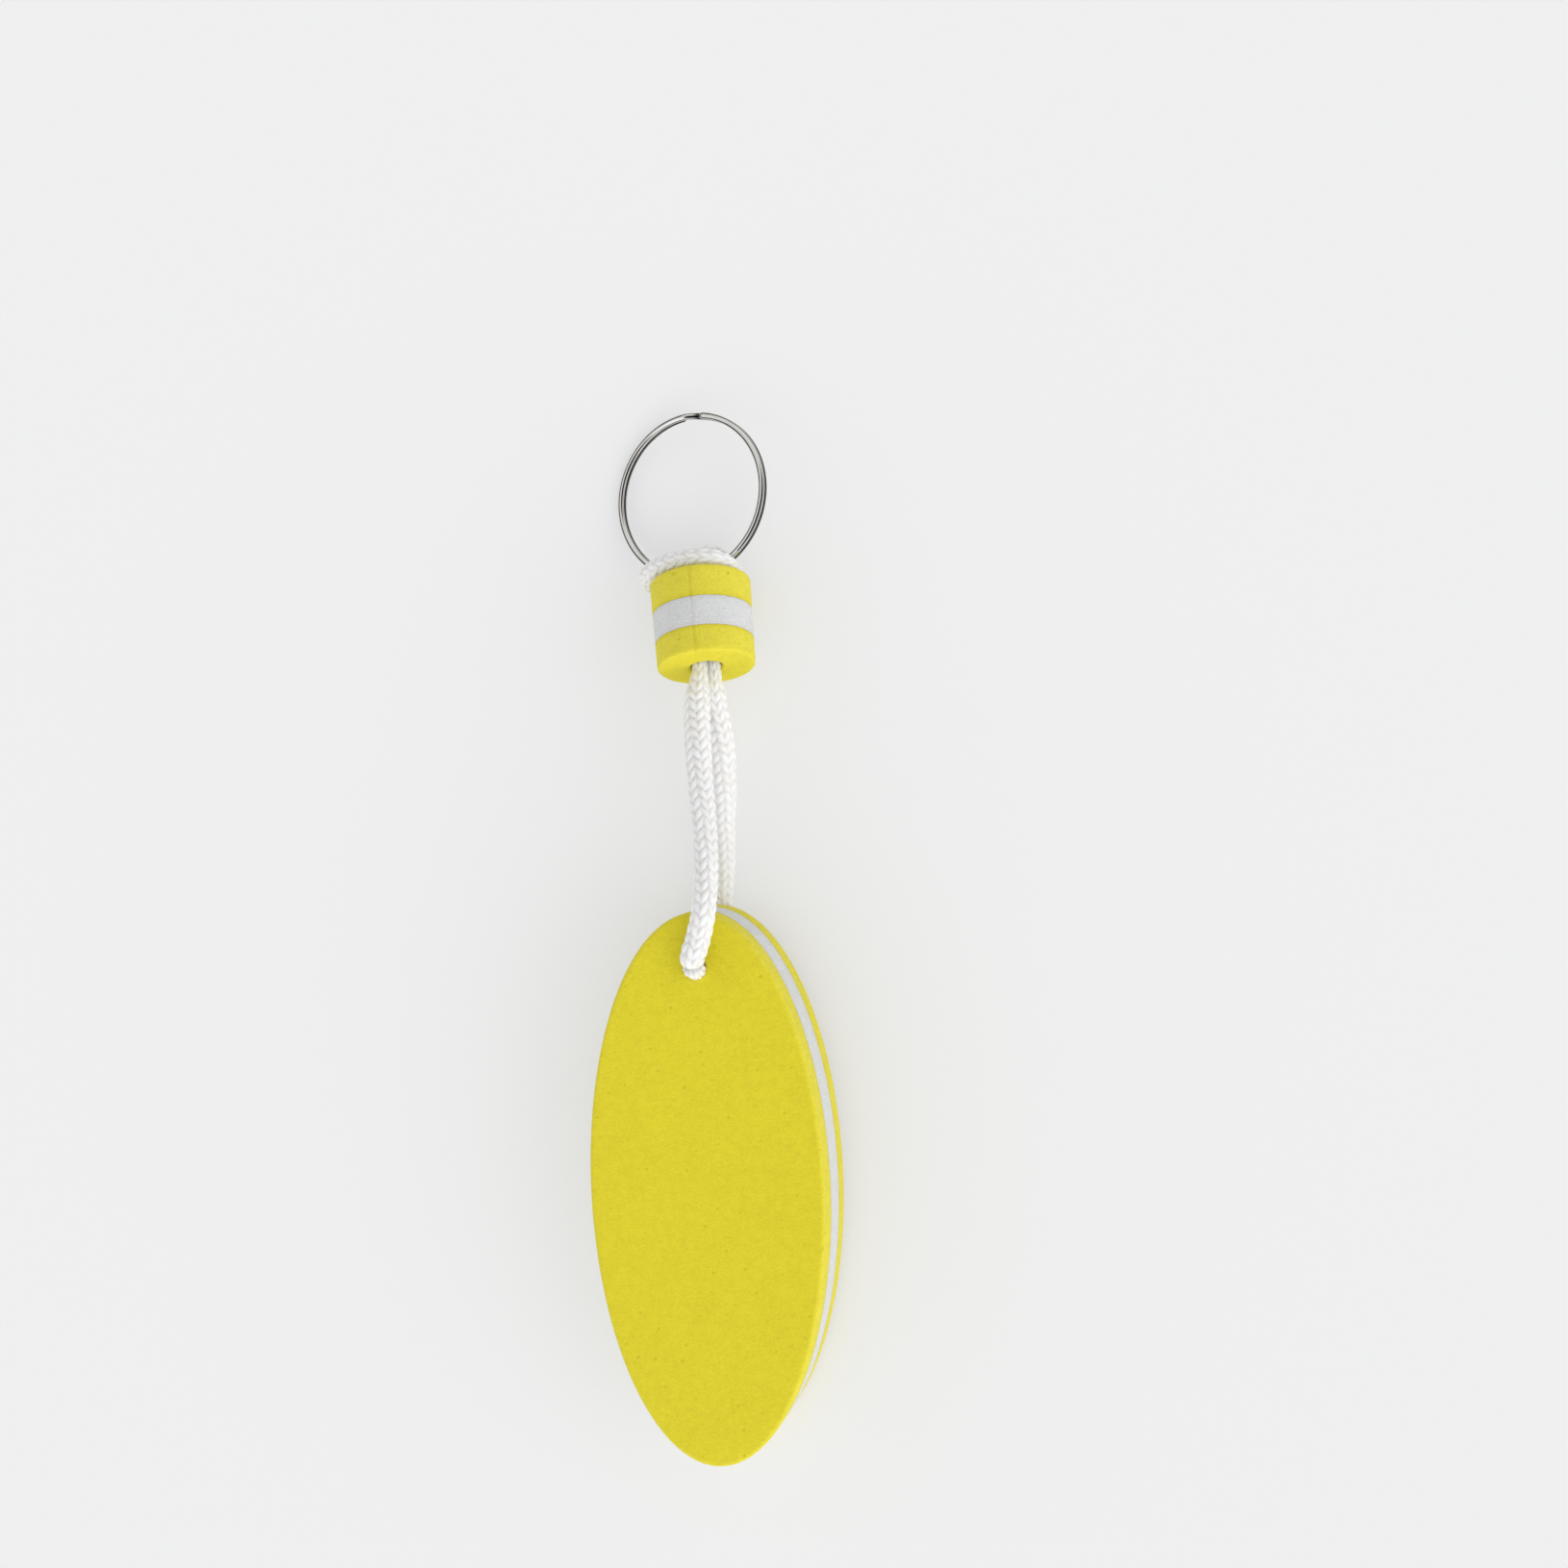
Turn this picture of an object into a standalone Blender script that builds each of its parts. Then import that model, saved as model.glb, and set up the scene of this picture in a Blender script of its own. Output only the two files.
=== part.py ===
# Floating keychain: an oval foam float and a foam bead on one loop of braided cord,
# which is hitched round a steel split ring. Metres, +Z up.
#
# It lies on a table at z = 0 as it comes to rest: +Y runs from the float to the ring and
# +X across it. The float lies on its back, its ring end propped up by the run of cord that
# passes under it, and the bead follows the run that climbs over the float's face.
# Everything hangs from one empty, which ends up where the centre of the footprint is at x = y = 0.

import math

import bmesh
import bpy
from mathutils import Matrix, Vector

# Foam: both the float and the bead are three bonded sheets
GLUE_LINE = 0.0003
SOFT_EDGE = 0.0008

# Float: an oval, with the cord's hole punched near its ring end, a little off the middle
FLOAT_LENGTH = 0.0900
FLOAT_WIDTH = 0.0394
FLOAT_FACE_SHEET = 0.0045
FLOAT_CORE_SHEET = 0.0056
FLOAT_BACK_SHEET = 0.0043
FLOAT_HOLE_INSET = 0.0092
FLOAT_HOLE_OFF_MIDDLE = -0.0003
FLOAT_HOLE = 0.0044

# Bead: a short cylinder, a little narrower at the float's end, bored for both runs of the cord
BEAD_DIAMETER = 0.0169
BEAD_TAPER = 0.0006
BEAD_BORE = 0.0052
BEAD_RING_END_SHEET = 0.0053
BEAD_CORE_SHEET = 0.0048
BEAD_FLOAT_END_SHEET = 0.0043
BEAD_FROM_FLOAT = 0.0400
BEAD_SIDESTEP = 0.0011
BEAD_CLIMB = math.radians(13.8)
HEAD_TURN = math.radians(6.8)

# Split ring: two turns of flat wire, one on the other, joined by a crank at the wire's ends
RING_DIAMETER = 0.0287
WIRE_WIDTH = 0.00115
WIRE_THICKNESS = 0.00068
TURN_GAP = 0.00014
RING_ROLL = math.radians(13.0)
RING_FALL = math.radians(5.0)
RING_FROM_BEAD = 0.0027
RING_SIDESTEP = -0.0007
RING_HEIGHT = 0.0055
WIRE_END = math.radians(8.0)
CRANK = math.radians(8.0)
SPLIT_AT = math.radians(82.0)

# Cord: soft braid, squeezed where the bore and the hitch grip it
CORD = 0.0040
SQUEEZED_IN_BORE = 0.54
PULLED_TIGHT = 0.80
BORE_SPREAD = 0.00125
CORD_ENDS_GAP = 0.0003
CORD_CLEAR = 0.0002

# Smoothness of round shapes
OVAL_STEPS = 96
BEAD_STEPS = 56
RING_STEPS_PER_TURN = 56
BENT = math.radians(14.0)

# What follows from the sizes above
FLOAT_THICKNESS = FLOAT_FACE_SHEET + FLOAT_CORE_SHEET + FLOAT_BACK_SHEET + 2 * GLUE_LINE
BEAD_LENGTH = BEAD_RING_END_SHEET + BEAD_CORE_SHEET + BEAD_FLOAT_END_SHEET + 2 * GLUE_LINE
WIRE_RADIUS = (RING_DIAMETER - WIRE_WIDTH) / 2
HOLE_Y = FLOAT_LENGTH / 2 - FLOAT_HOLE_INSET
FLOAT_PROP = math.asin((CORD + CORD_CLEAR) / (HOLE_Y + FLOAT_LENGTH / 2))
FLOAT_FACE_HEIGHT = (
    (FLOAT_LENGTH / 2 - SOFT_EDGE) * math.sin(FLOAT_PROP)
    + (FLOAT_THICKNESS - SOFT_EDGE) * math.cos(FLOAT_PROP)
    + SOFT_EDGE
)
BEAD_HEIGHT = BEAD_DIAMETER / 2 * math.cos(BEAD_CLIMB) + BEAD_LENGTH / 2 * math.sin(BEAD_CLIMB)
BEAD_Y = FLOAT_LENGTH / 2 + BEAD_FROM_FLOAT + BEAD_LENGTH / 2 * math.cos(BEAD_CLIMB)


# Frames of the three assemblies, in the keychain's own frame, whose origin is under the float's centre

def float_frame():
    return Matrix.Translation((0, 0, FLOAT_FACE_HEIGHT)) @ Matrix.Rotation(FLOAT_PROP, 4, "X")


def bead_frame():
    """Local Z is the bead's axis, towards the ring."""
    place = Matrix.Translation((BEAD_SIDESTEP - BEAD_LENGTH / 2 * math.sin(HEAD_TURN), BEAD_Y, BEAD_HEIGHT))
    return place @ Matrix.Rotation(HEAD_TURN, 4, "Z") @ Matrix.Rotation(-math.pi / 2 - BEAD_CLIMB, 4, "X")


def ring_frame():
    """Local Z is the ring's axis, and the hitch grips the wire at local -Y."""
    turn = Matrix.Rotation(HEAD_TURN, 4, "Z")
    turn = turn @ Matrix.Rotation(-RING_ROLL, 4, "Y") @ Matrix.Rotation(-RING_FALL, 4, "X")
    axis = bead_frame().to_3x3() @ Vector((0, 0, 1))
    bead_end = bead_frame() @ Vector((0, 0, BEAD_LENGTH / 2))
    level = Vector((axis.x, axis.y, 0)).normalized()
    face_run = (bead_end.z - RING_HEIGHT) * math.tan(BEAD_CLIMB)
    across = Vector((level.y, -level.x, 0))
    grip = bead_end + level * (RING_FROM_BEAD - face_run) + across * RING_SIDESTEP
    grip.z = RING_HEIGHT
    centre = grip + turn.to_3x3() @ Vector((0, WIRE_RADIUS, 0))
    return Matrix.Translation(centre) @ turn


# The cord's route, in millimetres, with the cord's thickness there as a share of its free one

def hitch_left():
    """From the bore to the middle of the crossbar. Origin: the gripped wire; axes: those of the ring."""
    tight = PULLED_TIGHT
    return [
        (-0.85, -1.0, 2.6, 0.60),
        (-1.95, 0.5, 2.8, 0.74),
        (-2.95, 2.05, 2.25, tight),
        (-3.35, 2.85, 0.10, tight),
        (-3.9, 2.4, -2.20, tight),
        (-5.1, 0.6, -2.60, tight),
        (-6.7, -0.7, -1.70, 0.76),
        (-7.7, -0.5, 0.50, 0.76),
        (-7.8, -0.1, 3.10, tight),
        (-6.6, 0.3, 5.20, 0.86),
        (-3.9, 0.6, 6.60, 0.94),
        (0.0, 0.7, 7.20, 0.96),
    ]


def hitch_right():
    """From the crossbar back to the bore, in the same axes."""
    tight = PULLED_TIGHT
    return [
        (3.5, 0.6, 6.80, 0.94),
        (5.9, 0.3, 5.50, 0.86),
        (6.9, -0.1, 3.30, 0.78),
        (6.75, -0.65, 0.60, 0.70),
        (5.95, -0.75, -1.80, 0.72),
        (4.6, 0.5, -2.65, tight),
        (3.5, 2.2, -2.15, tight),
        (3.0, 2.75, 0.10, tight),
        (2.75, 2.05, 2.25, tight),
        (2.6, 0.5, 2.8, 0.76),
        (2.1, -1.0, 2.6, 0.60),
    ]


def under_run():
    """From the bore down to the table and under the float. The keychain's frame."""
    return [
        (2.2, 79.5, 9.9, 0.90),
        (2.5, 73.0, 8.9, 1.0),
        (2.2, 66.0, 7.4, 1.0),
        (1.4, 59.0, 5.4, 1.0),
        (0.5, 52.0, 3.1, 1.0),
        (-0.3, 46.0, 2.1, 1.0),
        (-0.4, 40.5, 2.05, 1.0),
    ]


def over_run():
    """From the float's face up the bead. The keychain's frame."""
    return [
        (1.2, 40.6, 21.9, 1.0),
        (2.4, 45.0, 22.3, 1.04),
        (2.6, 51.0, 21.0, 1.04),
        (2.0, 58.0, 19.0, 1.02),
        (1.0, 65.0, 17.1, 1.0),
        (0.3, 72.0, 15.4, 0.98),
        (-0.1, 79.5, 14.0, 0.90),
    ]


def through_hole():
    """Up through the float from back to face, round the hole's edge. The float's frame."""
    x = FLOAT_HOLE_OFF_MIDDLE * 1000
    edge = (HOLE_Y + FLOAT_HOLE / 2) * 1000
    back = -FLOAT_THICKNESS * 1000
    reach = FLOAT_HOLE / 2 * 1000 + 0.05
    lean = reach * math.sqrt(0.5)
    return [
        (x, edge, back - reach, 0.97),
        (x, edge - lean, back - lean, 0.96),
        (x, edge - reach, back, 0.95),
        (x, edge - reach, back / 2, 0.95),
        (x, edge - reach, 0.0, 0.95),
        (x + 0.1, edge - lean, lean, 0.97),
        (x + 0.5, edge, reach, 1.0),
    ]


def bore_points(side, stations):
    """Side by side at the ring's end of the bore, and turned towards one over the other at the float's."""
    spread = BORE_SPREAD * 1000
    points = []
    for z in stations:
        turn = side * math.radians(50.0) * (0.5 - z / BEAD_LENGTH)
        x, y = side * spread * math.cos(turn), spread * math.sin(turn)
        points.append((x, y, z * 1000, SQUEEZED_IN_BORE))
    return points


def placed(frame, points):
    return [(frame @ (Vector(p[:3]) / 1000), p[3]) for p in points]


def cord_route():
    """Left in the bore, through the hitch, down the right of the bore, round the float and back."""
    bead, float_, ring = bead_frame(), float_frame(), ring_frame()
    grip = ring @ Matrix.Translation((0, -WIRE_RADIUS, 0))
    end = BEAD_LENGTH / 2
    half_gap = CORD_ENDS_GAP / 2
    here = Matrix.Identity(4)
    route = placed(bead, bore_points(-1, (half_gap, end / 2, end)))
    route += placed(grip, hitch_left()) + placed(grip, hitch_right())
    route += placed(bead, bore_points(1, (end, 0.0, -end)))
    route += placed(here, under_run())
    route += placed(float_, through_hole())
    route += placed(here, over_run())
    route += placed(bead, bore_points(-1, (-end, -end / 2, -half_gap)))
    return route


def smooth(route, where_bent=2):
    """A centripetal spline through the route's points, read more often in the spans that bend."""
    points = [p for p, _ in route]
    sizes = [r for _, r in route]
    first = points[0] * 2 - points[1]
    last = points[-1] * 2 - points[-2]
    padded = [first] + points + [last]
    out = []
    for i in range(len(points) - 1):
        a, b, c, d = padded[i:i + 4]
        ab, bc, cd = ((q - p).length ** 0.5 for p, q in ((a, b), (b, c), (c, d)))
        leave = (b - a) / ab - (c - a) / (ab + bc) + (c - b) / bc
        arrive = (c - b) / bc - (d - b) / (bc + cd) + (d - c) / cd
        leave, arrive = leave * bc, arrive * bc
        reads = where_bent if leave.angle(arrive) > BENT else 1
        for k in range(reads):
            t = k / reads
            h = (2 * t ** 3 - 3 * t ** 2 + 1, t ** 3 - 2 * t ** 2 + t, -2 * t ** 3 + 3 * t ** 2, t ** 3 - t ** 2)
            place = b * h[0] + leave * h[1] + c * h[2] + arrive * h[3]
            out.append((place, sizes[i] * (1 - t) + sizes[i + 1] * t))
    out.append((points[-1], sizes[-1]))
    return out


# Materials

def paint(name, colour, roughness, metallic=0.0):
    material = bpy.data.materials.new(name)
    material.use_nodes = True
    shader = material.node_tree.nodes["Principled BSDF"]
    shader.inputs["Base Color"].default_value = (*colour, 1.0)
    shader.inputs["Roughness"].default_value = roughness
    shader.inputs["Metallic"].default_value = metallic
    return material


# Modelling helpers

def add(name, data, collection, parent, frame=None):
    piece = bpy.data.objects.new(name, data)
    collection.objects.link(piece)
    piece.parent = parent
    if frame is not None:
        piece.matrix_local = frame
    return piece


def guide(piece):
    piece.hide_render = True
    piece.display_type = "WIRE"


def shade_round(mesh, angle=35.0):
    mesh.shade_smooth()
    mesh.set_sharp_from_angle(angle=math.radians(angle))


def oval_block(name, thickness, face_edge, back_edge):
    """An oval block centred on z = 0, with the share of SOFT_EDGE that each rim gets."""
    mesh = bpy.data.meshes.new(name)
    shape = bmesh.new()
    bmesh.ops.create_cone(shape, cap_ends=True, segments=OVAL_STEPS, radius1=1.0, radius2=1.0, depth=1.0)
    bmesh.ops.scale(shape, vec=(FLOAT_WIDTH / 2, FLOAT_LENGTH / 2, thickness), verts=shape.verts)
    weight = shape.edges.layers.float.new("bevel_weight_edge")
    for edge in shape.edges:
        heights = [v.co.z for v in edge.verts]
        if min(heights) > 0:
            edge[weight] = face_edge
        elif max(heights) < 0:
            edge[weight] = back_edge
    shape.to_mesh(mesh)
    shape.free()
    return mesh


def float_sheet(name, thickness, face, face_edge, back_edge, material, collection, parent, punch):
    """A sheet of the float that goes down from the height face."""
    sheet = add(name, oval_block(name, thickness, face_edge, back_edge), collection, parent)
    sheet.location = (0, 0, face - thickness / 2)
    sheet.data.materials.append(material)
    rounding = sheet.modifiers.new("soft edge", "BEVEL")
    rounding.limit_method = "WEIGHT"
    rounding.width = SOFT_EDGE
    rounding.segments = 3
    rounding.use_clamp_overlap = False
    hole = sheet.modifiers.new("cord hole", "BOOLEAN")
    hole.operation = "DIFFERENCE"
    hole.solver = "EXACT"
    hole.object = punch
    shade_round(sheet.data)
    return sheet


def corner(x, z, radius, start, steps=3):
    """Points of a rounded corner whose arc starts at the angle start and turns clockwise."""
    turns = [math.radians(start - 90.0 * k / steps) for k in range(steps + 1)]
    return [(x + radius * math.cos(a), z + radius * math.sin(a)) for a in turns]


def bead_radius(z):
    return BEAD_DIAMETER / 2 - BEAD_TAPER / 2 * (0.5 - z / BEAD_LENGTH)


def bead_sheet(name, thickness, end, top_edge, bottom_edge, material, collection, parent):
    """A washer of foam that starts at the height end, turned from its section, with rounded outer rims."""
    middle = end + thickness / 2
    inner, half = BEAD_BORE / 2, thickness / 2
    top, bottom = bead_radius(middle + half), bead_radius(middle - half)
    section = [(inner, -half), (inner, half)]
    section += corner(top - top_edge, half - top_edge, top_edge, 90.0)
    section += corner(bottom - bottom_edge, bottom_edge - half, bottom_edge, 0.0)
    shape = bmesh.new()
    points = [shape.verts.new((x, 0, z)) for x, z in section]
    lines = [shape.edges.new((a, b)) for a, b in zip(points, points[1:] + points[:1])]
    bmesh.ops.spin(
        shape, geom=points + lines, axis=(0, 0, 1), cent=(0, 0, 0), angle=2 * math.pi,
        steps=BEAD_STEPS, use_merge=True,
    )
    bmesh.ops.recalc_face_normals(shape, faces=shape.faces)
    mesh = bpy.data.meshes.new(name)
    shape.to_mesh(mesh)
    shape.free()
    sheet = add(name, mesh, collection, parent)
    sheet.location = (0, 0, middle)
    mesh.materials.append(material)
    shade_round(mesh)
    return sheet


def wire_section(collection):
    """The flat wire's rounded section, X outwards from the ring's centre and Y along its axis."""
    curve = bpy.data.curves.new("wire_section", "CURVE")
    curve.dimensions = "2D"
    radius = WIRE_THICKNESS * 0.42
    x, y = WIRE_WIDTH / 2 - radius, WIRE_THICKNESS / 2 - radius
    outline = []
    for cx, cy, start in ((x, y, 90.0), (x, -y, 0.0), (-x, -y, -90.0), (-x, y, -180.0)):
        outline += corner(cx, cy, radius, start, 2)
    spline = curve.splines.new("POLY")
    spline.points.add(len(outline) - 1)
    for point, (px, py) in zip(spline.points, outline):
        point.co = (px, py, 0, 1)
    spline.use_cyclic_u = True
    section = bpy.data.objects.new("wire_section", curve)
    collection.objects.link(section)
    guide(section)
    return section


def wire_height(angle):
    """Height of the wire's middle: one turn low, then the crank, then one turn high."""
    step = (WIRE_THICKNESS + TURN_GAP) / 2
    along = max(-1.0, min(1.0, (angle - 2 * math.pi) / CRANK))
    return step * math.sin(along * math.pi / 2)


def split_ring(material, collection, guides, parent):
    curve = bpy.data.curves.new("split_ring", "CURVE")
    curve.dimensions = "3D"
    curve.twist_mode = "Z_UP"
    curve.bevel_mode = "OBJECT"
    curve.bevel_object = wire_section(guides)
    curve.use_fill_caps = True
    start, finish = WIRE_END, 4 * math.pi - WIRE_END
    count = 2 * RING_STEPS_PER_TURN
    spline = curve.splines.new("POLY")
    spline.points.add(count)
    for k, point in enumerate(spline.points):
        angle = start + (finish - start) * k / count
        turn = SPLIT_AT + angle
        x, y = WIRE_RADIUS * math.cos(turn), WIRE_RADIUS * math.sin(turn)
        point.co = (x, y, wire_height(angle), 1)
    curve.materials.append(material)
    return add("split_ring", curve, collection, parent)


def cord(material, collection, parent):
    curve = bpy.data.curves.new("cord", "CURVE")
    curve.dimensions = "3D"
    curve.bevel_depth = CORD / 2
    curve.bevel_resolution = 3
    curve.use_fill_caps = True
    points = smooth(cord_route())
    spline = curve.splines.new("POLY")
    spline.points.add(len(points) - 1)
    for point, (place, size) in zip(spline.points, points):
        point.co = (*place, 1)
        point.radius = size
    curve.materials.append(material)
    return add("cord", curve, collection, parent)


def frame_empty(name, collection, parent, frame):
    empty = add(name, None, collection, parent, frame)
    empty.empty_display_size = 0.01
    return empty


def hole_punch(guides, parent):
    """Cuts the cord's hole through all three sheets of the float."""
    mesh = bpy.data.meshes.new("hole_punch")
    shape = bmesh.new()
    radius = FLOAT_HOLE / 2
    bmesh.ops.create_cone(shape, cap_ends=True, segments=32, radius1=radius, radius2=radius, depth=FLOAT_THICKNESS * 2)
    shape.to_mesh(mesh)
    shape.free()
    punch = add("hole_punch", mesh, guides, parent)
    punch.location = (FLOAT_HOLE_OFF_MIDDLE, HOLE_Y, -FLOAT_THICKNESS / 2)
    guide(punch)
    return punch


def centre_on_origin(root, pieces):
    """Moves the keychain so that the centre of its footprint, without the cord, is at x = y = 0."""
    bpy.context.view_layer.update()
    graph = bpy.context.evaluated_depsgraph_get()
    corners = []
    for piece in pieces:
        shown = piece.evaluated_get(graph)
        mesh = shown.to_mesh()
        corners += [shown.matrix_world @ v.co for v in mesh.vertices]
        shown.to_mesh_clear()
    lowest = [min(c[i] for c in corners) for i in range(3)]
    highest = [max(c[i] for c in corners) for i in range(3)]
    root.location.x -= (lowest[0] + highest[0]) / 2
    root.location.y -= (lowest[1] + highest[1]) / 2
    root.location.z -= lowest[2]
    bpy.context.view_layer.update()


def build():
    for old in list(bpy.data.objects):
        bpy.data.objects.remove(old, do_unlink=True)
    keychain = bpy.data.collections.new("floating_keychain")
    guides = bpy.data.collections.new("cutters_and_guides")
    bpy.context.scene.collection.children.link(keychain)
    bpy.context.scene.collection.children.link(guides)

    yellow = paint("yellow_foam", (0.70, 0.60, 0.04), 0.75)
    white = paint("white_foam", (0.75, 0.77, 0.77), 0.75)
    braid = paint("white_braid", (0.82, 0.82, 0.81), 0.60)
    steel = paint("bright_steel", (0.72, 0.71, 0.69), 0.18, 1.0)

    root = frame_empty("keychain", keychain, None, Matrix.Identity(4))
    float_place = frame_empty("float_frame", keychain, root, float_frame())
    bead_place = frame_empty("bead_frame", keychain, root, bead_frame())
    ring_place = frame_empty("ring_frame", keychain, root, ring_frame())

    punch = hole_punch(guides, float_place)
    slight = 0.2
    float_layers = (
        ("float_face_sheet", FLOAT_FACE_SHEET, 1.0, slight, yellow),
        ("float_core_sheet", FLOAT_CORE_SHEET, slight, slight, white),
        ("float_back_sheet", FLOAT_BACK_SHEET, slight, 1.0, yellow),
    )
    pieces = []
    face = 0.0
    for name, thickness, face_edge, back_edge, material in float_layers:
        pieces.append(
            float_sheet(name, thickness, face, face_edge, back_edge, material, keychain, float_place, punch)
        )
        face -= thickness + GLUE_LINE

    thin = SOFT_EDGE * slight
    rim = SOFT_EDGE / 2
    bead_layers = (
        ("bead_float_end_sheet", BEAD_FLOAT_END_SHEET, thin, rim, yellow),
        ("bead_core_sheet", BEAD_CORE_SHEET, thin, thin, white),
        ("bead_ring_end_sheet", BEAD_RING_END_SHEET, rim, thin, yellow),
    )
    end = -BEAD_LENGTH / 2
    for name, thickness, top_edge, bottom_edge, material in bead_layers:
        pieces.append(bead_sheet(name, thickness, end, top_edge, bottom_edge, material, keychain, bead_place))
        end += thickness + GLUE_LINE

    pieces.append(split_ring(steel, keychain, guides, ring_place))
    cord(braid, keychain, root)
    centre_on_origin(root, pieces)


build()
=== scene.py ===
import math

import bpy
import numpy as np
from mathutils import Matrix, Vector, noise


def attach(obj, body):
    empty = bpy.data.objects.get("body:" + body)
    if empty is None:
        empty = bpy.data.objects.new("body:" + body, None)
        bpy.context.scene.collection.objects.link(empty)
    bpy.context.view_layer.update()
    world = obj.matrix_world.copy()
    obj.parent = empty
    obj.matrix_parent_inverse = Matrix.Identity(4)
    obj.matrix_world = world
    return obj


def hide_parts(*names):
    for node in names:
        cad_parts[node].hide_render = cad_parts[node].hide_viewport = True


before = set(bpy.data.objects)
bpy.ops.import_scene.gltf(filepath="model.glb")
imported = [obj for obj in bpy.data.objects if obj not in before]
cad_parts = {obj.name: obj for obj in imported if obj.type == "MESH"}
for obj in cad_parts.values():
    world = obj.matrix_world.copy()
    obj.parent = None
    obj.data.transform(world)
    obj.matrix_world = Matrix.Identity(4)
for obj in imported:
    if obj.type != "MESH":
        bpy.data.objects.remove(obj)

scene = bpy.context.scene
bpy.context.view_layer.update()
print("frame loaded:", sorted(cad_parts))


# Camera: it looks down on the keychain from a little right of it

cameraView = {
    "place": (0.08813, 0.012921, 0.31683),
    "right": (0.97083, -0.02925, -0.23798),
    "up": (0.03606, 0.99905, 0.02433),
    "lens": 44.145,
    "sensor": 36.0,
    "clip": (0.01, 10.0),
}


def makeCamera(view):
    data = bpy.data.cameras.new("photoCamera")
    data.lens = view["lens"]
    data.sensor_width = view["sensor"]
    data.clip_start, data.clip_end = view["clip"]
    camera = bpy.data.objects.new("photoCamera", data)
    scene.collection.objects.link(camera)
    right = Vector(view["right"]).normalized()
    back = right.cross(Vector(view["up"])).normalized()
    up = back.cross(right)
    turn = Matrix((right, up, back)).transposed()
    camera.matrix_world = Matrix.Translation(view["place"]) @ turn.to_4x4()
    scene.camera = camera


makeCamera(cameraView)
print("camera set")


# Where the float, the bead and the ring lie: the same sizes and tilts as in the CAD

foam = {
    "glueLine": 0.0003,
    "softEdge": 0.0008,
}
oval = {
    "length": 0.0900,
    "width": 0.0394,
    "faceSheet": 0.0045,
    "coreSheet": 0.0056,
    "backSheet": 0.0043,
    "holeInset": 0.0092,
    "holeOffMiddle": -0.0003,
    "hole": 0.0044,
}
bead = {
    "diameter": 0.0169,
    "taper": 0.0006,
    "bore": 0.0052,
    "ringEndSheet": 0.0053,
    "coreSheet": 0.0048,
    "floatEndSheet": 0.0043,
    "fromFloat": 0.0400,
    "sidestep": 0.0011,
    "climb": math.radians(13.8),
    "turn": math.radians(6.8),
}
ring = {
    "diameter": 0.0287,
    "wireWidth": 0.00115,
    "wireThickness": 0.00068,
    "turnGap": 0.00014,
    "roll": math.radians(13.0),
    "fall": math.radians(5.0),
    "fromBead": 0.0027,
    "sidestep": -0.0007,
    "height": 0.0055,
    "wireEnd": math.radians(8.0),
    "crank": math.radians(8.0),
    "splitAt": math.radians(82.0),
}
cordSize = {
    "diameter": 0.0040,
    "clear": 0.0002,
    "offEdge": 0.00005,
    "inBore": 0.64,
    "boreSpread": 0.00125,
    "boreTurn": math.radians(50.0),
    "endsGap": 0.0003,
}

glueLines = 2 * foam["glueLine"]  # between three sheets
halfGlue = foam["glueLine"] / 2
thickness = oval["faceSheet"] + oval["coreSheet"] + oval["backSheet"] + glueLines
beadLength = bead["ringEndSheet"] + bead["coreSheet"] + bead["floatEndSheet"] + glueLines
holeY = oval["length"] / 2 - oval["holeInset"]
wireRadius = (ring["diameter"] - ring["wireWidth"]) / 2
turnStep = (ring["wireThickness"] + ring["turnGap"]) / 2  # from the ring's middle plane to a turn
floatProp = math.asin((cordSize["diameter"] + cordSize["clear"]) / (holeY + oval["length"] / 2))
faceHeight = (
    (oval["length"] / 2 - foam["softEdge"]) * math.sin(floatProp)
    + (thickness - foam["softEdge"]) * math.cos(floatProp)
    + foam["softEdge"]
)
beadX = bead["sidestep"] - beadLength / 2 * math.sin(bead["turn"])
beadY = oval["length"] / 2 + bead["fromFloat"] + beadLength / 2 * math.cos(bead["climb"])
beadHeight = (
    bead["diameter"] / 2 * math.cos(bead["climb"])
    + beadLength / 2 * math.sin(bead["climb"])
)

floatPlace = Matrix.Translation((0, 0, faceHeight)) @ Matrix.Rotation(floatProp, 4, "X")
beadPlace = (
    Matrix.Translation((beadX, beadY, beadHeight))
    @ Matrix.Rotation(bead["turn"], 4, "Z")
    @ Matrix.Rotation(-math.pi / 2 - bead["climb"], 4, "X")
)

footprintShift = -0.042269  # the CAD centres the keychain on its footprint
centring = Matrix.Translation((0.0, footprintShift, 0.0))
floatPlace = centring @ floatPlace
beadPlace = centring @ beadPlace


def findRingPlace():
    turn = Matrix.Rotation(bead["turn"], 4, "Z")
    turn = turn @ Matrix.Rotation(-ring["roll"], 4, "Y") @ Matrix.Rotation(-ring["fall"], 4, "X")
    axis = beadPlace.to_3x3() @ Vector((0, 0, 1))
    beadEnd = beadPlace @ Vector((0, 0, beadLength / 2))
    level = Vector((axis.x, axis.y, 0)).normalized()
    faceRun = (beadEnd.z - ring["height"]) * math.tan(bead["climb"])
    across = Vector((level.y, -level.x, 0))
    grip = beadEnd + level * (ring["fromBead"] - faceRun) + across * ring["sidestep"]
    grip.z = ring["height"]
    centre = grip + turn.to_3x3() @ Vector((0, wireRadius, 0))
    return Matrix.Translation(centre) @ turn


ringPlace = findRingPlace()
gripPlace = ringPlace @ Matrix.Translation((0, -wireRadius, 0))
print("ring centre", [round(x, 5) for x in ringPlace.translation])


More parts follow.
